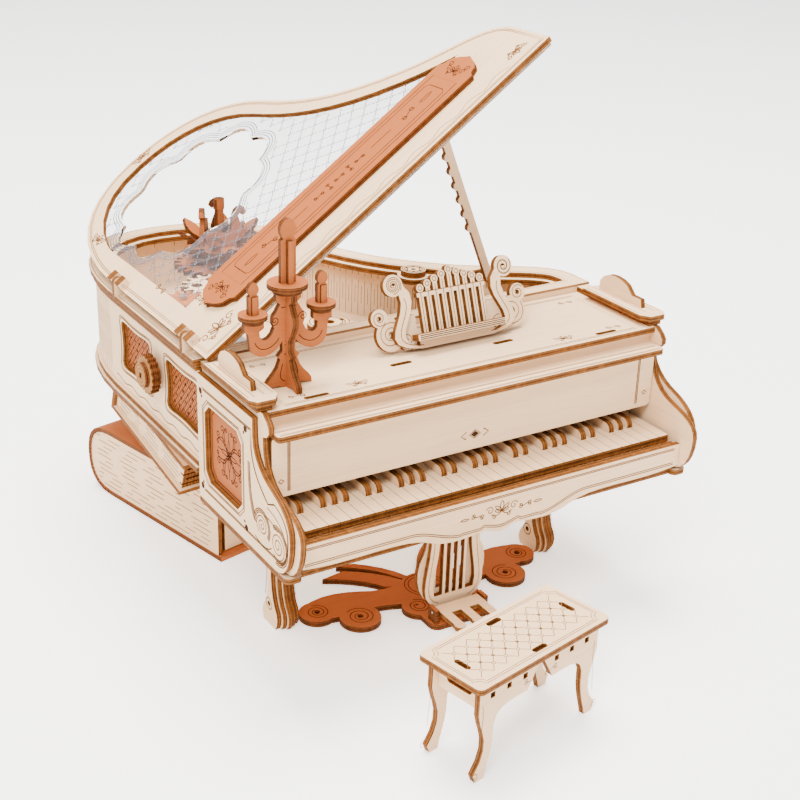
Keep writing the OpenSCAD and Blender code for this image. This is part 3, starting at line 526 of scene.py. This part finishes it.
def rosette():
    """Four-fold blossom with curled stems for the cheek panels."""
    out = [circle(0, 0, 1.5) + [(1.5, 0)]]
    for a in range(0, 360, 90):
        out += moved([leaf(6.5, 1.3), [(6.5, 0), (9.5, 0)]], 0, 0, a)
        out += moved([leaf(3.2, 0.9)], 0, 0, a + 45)
        half = [bez((1.5, 1.5), (5, 3), (6, 6), (4, 8.2), 8) + spiral(5.4, 8.6, 1.5, 0.3, 1.1, 180, -1),
                bez((3, 3), (7, 4.2), (9.5, 4), (10, 2.4), 6) + spiral(9.2, 2.3, 0.9, 0.2, 1.0, 0, -1)]
        out += moved(half + [[(x, -y) for x, y in l] for l in half], 0, 0, a)
    return out


# ------------------------------------------------------------------ lid
def lid_outline():
    return ([(-119.4, 72)] + bez((-119.4, 194), (-119, 246), (-100, 287), (-56, 287), 10)
            + bez((-56, 287), (-20, 287), (8, 265), (17, 229), 10)
            + bez((17, 229), (24, 202), (34, 175), (67, 146), 10)
            + bez((67, 146), (87, 128), (112, 122), (112, 100), 10) + [(112, 100), (112, 72)])


def opening_radius(a):
    return 44 + 6 * abs(math.sin(5 * a)) + 1.6 * math.cos(3 * a)


def opening_line(e):
    pts = []
    for i in range(144):
        a = 2 * math.pi * i / 144
        r = opening_radius(a) + e
        pts.append((OPENING[0] + r * math.cos(a), OPENING[1] + r * math.sin(a)))
    return closed(pts)


def lid_details():
    top = lid_plane(Z_LID + ACRYLIC + PLY)
    out = lid_outline()
    lines_on("lid_border", top, [closed(inset(out, 2.2)), closed(inset(out, 3.2))], PALE, "lid", w=0.5)
    corner = moved(floral(1.5), -104, 84, 0) + moved(floral(1.1), -96, 112, 90)
    corner += moved(floral(1.0), -106, 240, -90) + moved(curl(0.9), -106, 150, 90)
    corner += moved(floral(0.9), 98, 84, 180) + moved(floral(1.0), -50, 281, 0)
    lines_on("lid_corner_sprays", top, corner, BURN, "lid")
    edge = [(x, 78 + 1.2 * math.sin(x / 3.0)) for x in range(-88, 89, 1)]
    lines_on("lid_front_wave", top, [edge], PALE, "lid", w=0.45)
    glass = lid_plane(Z_LID + ACRYLIC)
    clear = inset(out, 12)
    lattice = []
    p = 9.0
    for i in range(-30, 31):
        for j in range(-4, 40):
            if (i + j) % 2:
                continue
            x, y = i * p * 0.62, 100 + j * p * 0.62
            ok = inside((x, y), clear) and x > -104 and y > 121
            ang = math.atan2(y - OPENING[1], x - OPENING[0])
            far = math.hypot(x - OPENING[0], y - OPENING[1]) - opening_radius(ang)
            if not ok or far < 7.5:
                continue
            lattice.append(closed(circle(x, y, 0.85, 10)))
            for dx, dy in ((1, 1), (1, -1)):
                vx, vy = dx * p * 0.62, dy * p * 0.62
                for a, b in ((0.2, 0.42), (0.52, 0.78)):
                    lattice.append([(x + vx * a, y + vy * a), (x + vx * b, y + vy * b)])
    lines_on("lid_lattice", glass, lattice, FROST, "lid", w=0.62, lift=0.12)
    lines_on("lid_opening_waves", glass, [opening_line(1.6), opening_line(3.4), opening_line(5.2)],
             FROST, "lid", w=0.6, lift=0.12)
    plank = lid_plane(Z_LID + ACRYLIC + 2 * PLY)
    y0 = 105
    deco = [rect(-74, y0 - 10.6, 74, y0 + 10.6), rect(-68, y0 - 8, 68, y0 + 8, 2)]
    for s in (-1, 1):
        deco += moved(floral(1.0), s * 80, y0, -90 * s)
        deco += [spiral(s * 84, y0 + 7, 0.3, 2.0, 1.2), spiral(s * 84, y0 - 7, 0.3, 2.0, 1.2, 0, -1)]
        deco += moved(curl(0.9), s * 48, y0, 20 * s) + moved([leaf(9, 1.6)], s * 56, y0, 0 if s > 0 else 180)
    for i in range(-2, 3):
        deco += moved(curl(0.62), i * 7.0, y0, 90 if i % 2 else 0)
    deco += [[(-36, y0), (-22, y0)], [(22, y0), (36, y0)]]
    deco = moved(deco, -7, 0)
    lines_on("lid_plank_carving", plank, deco, DARK, "lid", w=0.42)


# ------------------------------------------------------------------ case
def side_window_line(cy, e):
    a, h = 20 - e, 13.5 - e
    pts = (bez((-a, h - 3), (-a, h + 1), (-a + 5, h), (-a + 8, h), 4)
           + bez((-a + 8, h), (-4, h - 1), (4, h - 1), (a - 8, h), 5)
           + bez((a - 8, h), (a - 5, h), (a, h + 1), (a, h - 3), 4)
           + bez((a, h - 3), (a - 2, 3), (a - 2, -3), (a, -h + 3), 5)
           + bez((a, -h + 3), (a, -h - 1), (a - 5, -h), (a - 8, -h), 4)
           + bez((a - 8, -h), (4, -h + 1), (-4, -h + 1), (-a + 8, -h), 5)
           + bez((-a + 8, -h), (-a + 5, -h), (-a, -h - 1), (-a, -h + 3), 4)
           + bez((-a, -h + 3), (-a + 2, -3), (-a + 2, 3), (-a, h - 3), 5))
    return closed([(x - cy, y + 119) for x, y in pts])


def left_side_details():
    skin = left_plane(-116)
    lines = []
    for cy in (106, 166):
        lines += [side_window_line(cy, -1.6), side_window_line(cy, -2.5)]
    lines.append([(-y, 141) for y in range(86, 197, 2)])
    lines.append([(-y, 97 + 0.8 * math.sin(y / 3.0)) for y in range(86, 197)])
    lines_on("side_window_borders", skin, lines, BURN)
    grille = left_plane(-113)
    lattice = []
    for cy in (106, 166):
        frame_line = side_window_line(cy, 0.3)
        for k in range(-14, 15):
            for s in (-1, 1):
                run = []
                for t in range(-60, 61):
                    y, z = t * 0.5, k * 3.6 + s * t * 0.5
                    if inside((y - cy, z + 119), frame_line):
                        run.append((y - cy, z + 119))
                    elif len(run) > 1:
                        lattice.append([run[0], run[-1]])
                        run = []
                if len(run) > 1:
                    lattice.append([run[0], run[-1]])
    lines_on("side_grille_lattice", grille, lattice, DARK, w=0.4)


def case_outline():
    return ([(-116, 84)] + bez((-116, 194), (-116, 243), (-98, 283), (-56, 283), 16)
            + bez((-56, 283), (-22, 283), (4, 262), (13, 228), 16)
            + bez((13, 228), (20, 200), (30, 172), (64, 143), 16)
            + bez((64, 143), (86, 124), (116, 118), (116, 98), 16) + [(116, 98), (116, 84)])


def flex_cuts(name, e, z0, z1, mat):
    """Staggered upright cuts in the bent wall sheet, drawn as thin strips on the outer or inner face."""
    pts = inset(case_outline(), e)
    verts, faces = [], []
    run, n = 0.0, 0
    for i in range(2, len(pts) - 2):
        a, b = Vector(pts[i]), Vector(pts[i + 1])
        seg = (b - a).length
        while run < seg:
            p = a + (b - a) * (run / seg)
            t = (b - a).normalized() * 0.16
            cuts = [(z0 + 1, z0 + 22), (z0 + 25, z1 - 1)] if n % 2 else [(z0 + 8, z1 - 12)]
            for c0, c1 in cuts:
                k = len(verts)
                verts += [row((p.x - t.x, p.y - t.y, c0)), row((p.x + t.x, p.y + t.y, c0)),
                          row((p.x + t.x, p.y + t.y, c1)), row((p.x - t.x, p.y - t.y, c1))]
                faces.append((k, k + 1, k + 2, k + 3))
            run += 2.1
            n += 1
        run -= seg
    mesh_object(name, verts, faces, mat, "case")


def cheek_side_line(e):
    pts = [(84 - e, 74.5 + e)]
    pts += bez((-2, 74.5 + e), (-11 + e, 74.5 + e), (-16 + e, 84), (-16 + e, 95), 8)
    pts += bez((-16 + e, 95), (-16 + e, 103), (-8 + e, 105 + e * 0.4), (3 + e / 2, 108), 8)
    pts += bez((3 + e, 108 - e / 2), (12 + e, 110.5), (20 + e, 117), (20 + e, 130), 8)
    return pts + [(20 + e, 141 - e), (84 - e, 141 - e)]


def window_outline(e):
    c, y0, y1, z0, z1 = 5, 36 + e, 76 - e, 87 + e, 128 - e
    return closed([(y0 + c, z0), (y1 - c, z0), (y1, z0 + c), (y1, z1 - c), (y1 - c, z1), (y0 + c, z1),
                   (y0, z1 - c), (y0, z0 + c)])


def cheek_details():
    for side in (-1, 1):
        skin = left_plane(-117.6) if side < 0 else Plane((117.6, 0, 0), (0, 1, 0), (0, 0, 1))
        panel = left_plane(-114.4) if side < 0 else Plane((114.4, 0, 0), (0, 1, 0), (0, 0, 1))

        def put(lines):
            return [[(-y, z) if side < 0 else (y, z) for y, z in l] for l in lines]
        tag = "left" if side < 0 else "right"
        lines = [cheek_side_line(5.8), cheek_side_line(6.6), window_outline(-1.4), window_outline(-2.3)]
        lines += [spiral(0, 88, 0.5, 7.2, 2.6, 90, 1), spiral(15.5, 91, 0.4, 5.6, 2.4, 90, -1),
                  bez((0, 95.2), (6, 98), (10, 98), (15.5, 96.6), 8),
                  bez((-8, 92), (-6, 100), (4, 103), (14, 103), 8),
                  bez((6, 84), (10, 80), (18, 80), (26, 84), 8),
                  bez((21, 92), (26, 98), (28, 108), (27, 118), 8)]
        for k in (1.0, 2.0, 3.0):
            lines.append(bez((20 + k, 90), (25 + k, 96), (27 + k, 108), (26 + k, 124), 8))
        for k in range(1, 4):
            lines += [spiral(0, 88, 7.2 + k * 0.9, 7.2 + k * 0.9, 0.62, 60, 1),
                      spiral(15.5, 91, 5.6 + k * 0.9, 5.6 + k * 0.9, 0.55, 20, 1)]
        lines_on(f"cheek_scrolls_{tag}", skin, put(lines), BURN)
        blossom = moved(rosette(), 56, 107.5, 0, 1.32) + [window_outline(1.5)]
        lines_on(f"cheek_blossom_{tag}", panel, put(blossom), DARK, w=0.55)
        for i, (y, z) in enumerate(((31.5, 82), (80, 82), (80, 133), (31.5, 133))):
            slab(f"cheek_peg_{tag}_{i}", Plane(skin.o + skin.n * 0.12, skin.u, skin.v),
                 circle(-y if side < 0 else y, z, 1.7, 20),
                 0.05, HOLE, "case")


def front_details():
    f = front_plane(18)
    deco = [closed([(0, 111.9), (3.2, 109.6), (0, 107.3), (-3.2, 109.6)]),
            [(-5, 111.7), (-8, 109.6), (-5, 107.5)], [(5, 111.7), (8, 109.6), (5, 107.5)]]
    for s in (-1, 1):
        x = s * 102
        deco += [[(x, 104), (x, 130.5)], [(x - 0.9, 104), (x - 0.9, 130.5)],
                 closed([(s * 106.5, 110.7), (s * 107.9, 109.6), (s * 106.5, 108.5), (s * 105.1, 109.6)])]
    lines_on("fallboard_lines", f, deco, BURN)
    slab("fallboard_diamond", front_plane(17.94),
         [(0, 111.3), (2.4, 109.6), (0, 107.9), (-2.4, 109.6)], 0.05, HOLE,
         "case")
    s1 = front_plane(-7.6)

    def low(x):
        x = abs(x)
        if x < 12:
            return 70.2 - 1.2 * math.cos(x / 4)
        if x > 22:
            return 69.5 + 7.2 * (0.5 - 0.5 * math.cos(min(1, (x - 22) / 30) * math.pi))
        return 70.0
    deco = [[(x, 86.8) for x in range(-108, 109, 4)], [(x, 87.6) for x in range(-108, 109, 4)]]
    for e in (1.8, 2.8):
        deco.append([(x, low(x) + e) for x in range(-108, 109, 2)])
    deco += moved(floral(1.25), 0, 79.4, 0)
    for s in (-1, 1):
        deco += moved(curl(0.7), s * 14, 79.5, 10 * s)
        deco += moved([leaf(5, 0.9)], s * 19, 79.6, 0 if s > 0 else 180)
    lines_on("keyslip_lines", s1, deco, BURN, w=0.5)


def deck_details():
    t = top_plane(Z_DECK)
    deco = [rect(-102, 23, 102, 77), rect(-100.8, 24.2, 100.8, 75.8)]
    for s in (-1, 1):
        deco += moved(curl(0.8), s * 92, 30, 0) + moved(curl(0.8), s * 92, 70, 0)
        deco += moved(floral(0.8), s * 60, 29, 0)
    lines_on("deck_lines", t, deco, BURN, w=0.45)
    sh = top_plane(135.6)
    lines_on("shelf_lines", sh, [rect(-110, 12.2, 110, 17), rect(-109.2, 13, 109.2, 16.2)], PALE, w=0.42)
    cap = top_plane(Z_CAP)
    deco = []
    for s in (-1, 1):
        deco += [rect(min(s * 105.8, s * 110.2), 27, max(s * 105.8, s * 110.2), 70),
                 rect(min(s * 115.4, s * 118.4), 26, max(s * 115.4, s * 118.4), 70)]
    lines_on("cap_lines", cap, deco, PALE, w=0.42)
    rim = top_plane(Z_RIM)
    out = case_outline()
    lines_on("rim_lines", rim, [closed(inset(out, -2.0)), closed(inset(out, 6.6))], PALE, w=0.45)


def inside_details():
    """Washer rings and swirls on the soundboard, the shelf and the waist disc."""
    wash, swirl = top_plane(Z_SOUND), []
    for x, y, r, turns in ((-64, 150, 9, 3), (-20, 200, 7, 2.4), (20, 130, 8, 2.8),
                           (70, 124, 7, 2.4), (-96, 120, 8, 2.6)):
        swirl.append(spiral(x, y, 0.5, r, turns))
    lines_on("soundboard_swirls", wash, swirl, BURN)
    shelf = [spiral(-69, 93, 2.6, 8, 2.0), spiral(-48, 88.4, 2.2, 7.2, 1.8),
             spiral(-29, 88.4, 2.2, 6.8, 1.8), spiral(-14, 88, 2.2, 5.2, 1.4)]
    lines_on("shelf_swirls", top_plane(Z_SHELF), shelf, BURN)
    lines_on("disc_rings", top_plane(Z_SOUND + 3.2),
             [closed(circle(*WASHER, r, 40)) for r in (7.5, 9, 11.6)], BURN)
    lines_on("waist_rings", top_plane(Z_RIM + 0.3),
             [closed(circle(*WAIST, r, 32)) for r in (3.6, 5.0, 6.2)], BURN)


def knob_details():
    face = left_plane(-125.9)
    rings = [closed(circle(-KNOB_YZ[0], KNOB_YZ[1], r, 32)) for r in (3.6, 5.6)]
    lines_on("knob_rings", face, rings, BURN, "winder", w=0.5, lift=0.01)


def key_details():
    """A thin burnt line across the front of each white key."""
    t = front_plane(-0.02)
    lines = [[(x + 0.2, 90.6), (x + 5.6, 90.6)] for x in (FIRST_KEY + k * KEY_PITCH for k in range(WHITE_KEYS))]
    lines_on("key_front_lines", t, lines, HOLE, w=0.3)


# ------------------------------------------------------------------ music stand and lyre
def stand_plane(d=0.0):
    a = rad(STAND_TILT)
    o = Vector((8, 47, Z_DECK + 2.15)) + d * Vector((0, -math.cos(a), math.sin(a)))
    return Plane(o, (1, 0, 0), (0, math.sin(a), math.cos(a)))


def stand_details():
    """Scroll lines on the front bars and on the board behind them."""
    deco, back = [], []
    for s in (-1, 1):
        deco += [spiral(s * 32.5, 32.7, 0.5, 4.7, 2.1, 0, s), spiral(s * 32.5, 32.7, 0.9, 4.2, 1.6, 120, s),
                 [(s * x, y) for x, y in bez((20, 1.6), (48, 4), (17, 20), (30, 28), 12)]]
        back += [spiral(s * 36, 9, 0.5, 7.2, 2.6, 180, s), spiral(s * 41, 18, 0.4, 3.9, 1.9, 0, -s),
                 spiral(s * 27, 5, 0.4, 4.0, 1.8, 0, -s)]
    for i in range(-4, 5):
        top = 36 - abs(i) * 1.7
        deco += [[(i * 4.4, 6), (i * 4.4, top - 2.4)], closed(circle(i * 4.4, top, 1.1, 12))]
    deco += [[(-20, 27.1), (20, 27.1)], [(-21, 5), (21, 5)]]
    lines_on("stand_lines", stand_plane(0), deco, BURN, w=0.45)
    lines_on("stand_ledge_strips", stand_plane(6), [[(-25, z), (25, z)] for z in (5.0, 5.9, 6.8)], DARK, w=0.5)
    lines_on("stand_back_lines", stand_plane(-3.05), back, BURN, w=0.45)


def candelabra_details():
    """Engraved rings and stem lines on the front plate and along the central candle."""
    face = Plane((-90, 41.5, Z_DECK), (1, 0, 0), (0, 0, 1))
    deco = [[(-2.6, 16.5), (2.6, 16.5)], [(-2.4, 21), (2.4, 21)], [(-4, 39.4), (4, 39.4)]]
    for s in (-1, 1):
        deco += [spiral(s * 7.2, 33.6, 0.3, 2.4, 1.5, 0, s),
                 [(s * x, z) for x, z in bez((5, 25), (9, 19), (17, 19), (17.8, 27), 10)],
                 [(s * x, z) for x, z in bez((2, 3), (6, 4.4), (4.4, 8), (2.6, 14), 8)]]
    lines_on("candelabra_lines", face, deco, DARK, "candle_stand", w=0.42)


def lyre_details():
    f = front_plane(29)
    deco = []
    for s in (-1, 1):
        deco += [spiral(s * 15.8, 59.6, 0.9, 3.5, 1.7, 0, s),
                 [(s * x, y) for x, y in bez((9, 9.5), (24, 14), (8, 38), (14.5, 56), 12)]]
    deco.append(closed(circle(0, 61, 2.6)))
    lines_on("lyre_lines", f, deco, BURN, w=0.36)


def base_details():
    t = top_plane(3.2)
    deco = []
    for s in (-1, 1):
        w = -s
        deco += [spiral(s * 46, 46, 2.4, 7.8, 2.1, 90, w), spiral(s * 64, 60, 2.2, 6.4, 2.0, 90, w),
                 spiral(s * 14, 40, 2.2, 6.2, 2.0, 90, w)]
    deco += [closed(circle(0, 56, 9)), closed(circle(0, 56, 11))]
    lines_on("floor_frame_spirals", t, deco, DARK, w=0.5)


def leg_details():
    for s in (-1, 1):
        x = s * 82
        for out in (-1, 1):
            xf = x + out * 6.4
            pl = left_plane(xf) if out < 0 else Plane((xf, 0, 0), (0, 1, 0), (0, 0, 1))
            lines = []
            for z in (12, 56):
                lines.append(closed([(y, zz) for y, zz in circle(67, z, 3.2)]))
            lines.append(bez((62, 16), (65, 26), (65, 36), (64, 46), 8))
            lines.append(bez((71, 16), (68.5, 26), (69, 36), (70, 46), 8))
            lines = [[(-y if out < 0 else y, z) for y, z in l] for l in lines]
            lines_on(f"leg_lines_{'r' if s > 0 else 'l'}{'o' if out > 0 else 'i'}", pl, lines, BURN)


# ------------------------------------------------------------------ books
def book_plane(x):
    o = turned((x, 0, 0), BOOK_AT, BOOK_TURN)
    return Plane(o, -Vector(BOOK_V), (0, 0, 1))


def dashes(y0, y1, z0, z1, step, seed):
    """Broken page lines; lengths come from a fixed sine sequence."""
    out, k = [], seed
    z = z0
    while z < z1:
        y = y0 + 6 * abs(math.sin(k * 1.7))
        while y < y1 - 3:
            l = 3 + 15 * abs(math.sin(k * 2.3))
            out.append([(y, z), (min(y + l, y1), z)])
            y += l + 2.5 + 9 * abs(math.sin(k * 3.1))
            k += 1
        z += step
    return out


def book_details():
    side = book_plane(0.5)
    pages = [[(-p[0], p[1]) for p in l] for l in dashes(6, 118, 5.5, 39, 3.1, 1)]
    lines_on("book_page_lines", side, pages, BURN, w=0.5)
    end = book_plane(-0.05)
    ribs = []
    h, l = BOOK_HEIGHT, BOOK_LENGTH
    for i in range(2, 23):
        t = i / 24
        pts_o = bez((l - 22, 0), (l + 6, 0), (l + 6, h), (l - 22, h), 24)
        a = Vector(pts_o[min(23, int(t * 23.9))])
        c = Vector((l - 26, h / 2))
        d = (c - a).normalized()
        ribs.append([(-a.x, a.y), (-(a + d * 2.5).x, (a + d * 2.5).y)])
    lines_on("book_spine_ribs", end, ribs, DARK, w=0.45)


def small_book_details():
    m = Matrix.Rotation(rad(SMALL_TURN), 3, "Z") @ Matrix.Rotation(rad(SMALL_TILT), 3, "X")
    o = Vector(SMALL_BOOK_AT)
    left = Plane(o + m @ Vector((2, 0, 0)), m @ Vector((0, -1, 0)), m @ Vector((0, 0, 1)))
    pages = [[(-p[0], p[1]) for p in l] for l in dashes(4, 74, 4.6, 17, 2.6, 5)]
    lines_on("small_book_lines", left, pages, BURN, w=0.45)


# ------------------------------------------------------------------ bench
def bench_details():
    o = Vector((*BENCH_AT, 52))
    t = Plane(o, BENCH_U, BENCH_V)
    deco = [notched(-41.4, -16.4, 41.4, 16.4, 4), notched(-40.2, -15.2, 40.2, 15.2, 4)]
    for i in range(-4, 5):
        for j in range(-1, 2):
            x, y = i * 8.0, j * 8.0
            deco.append(closed(circle(x, y, 0.9, 10)))
            for dx, dy in ((1, 1), (1, -1), (-1, 1), (-1, -1)):
                ex, ey = x + dx * 4.0, y + dy * 4.0
                if abs(ex) < 37 and abs(ey) < 13:
                    deco.append([(x + dx * 0.9, y + dy * 0.9), (ex, ey)])
    for i in range(-4, 4):
        for j in (-0.5, 0.5):
            deco.append(closed(circle(i * 8.0 + 4, j * 8.0, 0.7, 8)))
    lines_on("bench_top_lines", t, deco, BURN, "bench", w=0.34)
    for s in (-1, 1):
        v = Vector(BENCH_V)
        off = 14 * s + 1.5 * s
        u = Vector(BENCH_U) * (1 if s < 0 else -1)
        pl = Plane(Vector((*BENCH_AT, 0)) + v * off, u, (0, 0, 1))
        deco = moved(curl(0.8), -7, 38.5, -10) + moved(curl(0.8), 7, 38.5, 10)
        deco += [[(-34, 47.6), (34, 47.6)]]
        for q in (-1, 1):
            deco += [spiral(q * 41, 3.4, 0.4, 2.4, 1.3, 0, q),
                     bez((q * 38, 40), (q * 36, 30), (q * 40, 20), (q * 39, 8), 8)]
        lines_on(f"bench_apron_{'front' if s < 0 else 'back'}", pl, deco, BURN, "bench", w=0.34)


def stage():
    fm = Nodes("floor")
    co = fm.new("ShaderNodeTexCoord")
    fm.link(fm.ramp(fm.noise(co.outputs["Object"], 3.0), [(0.3, 0.93), (0.7, 0.95)]),
            fm.bsdf.inputs["Base Color"])
    fm.bsdf.inputs["Roughness"].default_value = 0.9
    fm.bsdf.inputs["Emission Color"].default_value = (1, 1, 1, 1)
    fm.bsdf.inputs["Emission Strength"].default_value = FLOOR_GLOW
    me = bpy.data.meshes.new("floor")
    r = FLOOR_HALF
    me.from_pydata([(-r, -r, 0), (r, -r, 0), (r, r, 0), (-r, r, 0)], [], [(0, 1, 2, 3)])
    me.materials.append(fm.mat)
    floor = bpy.data.objects.new("floor", me)
    bpy.context.scene.collection.objects.link(floor)
    world = bpy.data.worlds.new("studio")
    bpy.context.scene.world = world
    world.use_nodes = True
    world.node_tree.nodes["Background"].inputs[0].default_value = (1.0, 0.985, 0.97, 1)
    world.node_tree.nodes["Background"].inputs[1].default_value = WORLD_LIGHT
    for name, p, size, power in (KEY_LIGHT, FILL_LIGHT, TOP_LIGHT):
        li = bpy.data.lights.new(name, "AREA")
        li.size, li.energy = size, power
        li.color = (1.0, 0.97, 0.93)
        o = bpy.data.objects.new(name, li)
        o.location = p
        o.rotation_mode = "QUATERNION"
        o.rotation_quaternion = (Vector((0, 0, 0.1)) - Vector(p)).to_track_quat("-Z", "Y")
        bpy.context.scene.collection.objects.link(o)


def camera():
    cd = bpy.data.cameras.new("camera")
    cam = bpy.data.objects.new("camera", cd)
    bpy.context.scene.collection.objects.link(cam)
    az, el, roll = rad(AZIMUTH), rad(ELEVATION), rad(ROLL)
    back = Vector((math.sin(az) * math.cos(el), -math.cos(az) * math.cos(el), math.sin(el)))
    right = (-back).cross(Vector((0, 0, 1))).normalized()
    up = right.cross(-back)
    r2 = math.cos(roll) * right + math.sin(roll) * up
    u2 = -math.sin(roll) * right + math.cos(roll) * up
    m = Matrix((r2, u2, back)).transposed().to_4x4()
    m.translation = row(CAMERA_AT)
    cam.matrix_world = m
    cd.lens, cd.sensor_width = 64.7, 36.0
    cd.shift_x, cd.shift_y = 0.0806, -0.0114
    cd.clip_start, cd.clip_end = 0.01, 50
    bpy.context.scene.camera = cam


paint()
lid_details()
left_side_details()
flex_cuts("tail_flex_cuts", -0.05, 93, Z_WALL, BURN)
flex_cuts("tail_flex_cuts_inside", 2.66, Z_SOUND, Z_WALL, BURN)
cheek_details()
front_details()
deck_details()
inside_details()
knob_details()
key_details()
stand_details()
candelabra_details()
lyre_details()
base_details()
leg_details()
book_details()
small_book_details()
bench_details()
stage()
camera()
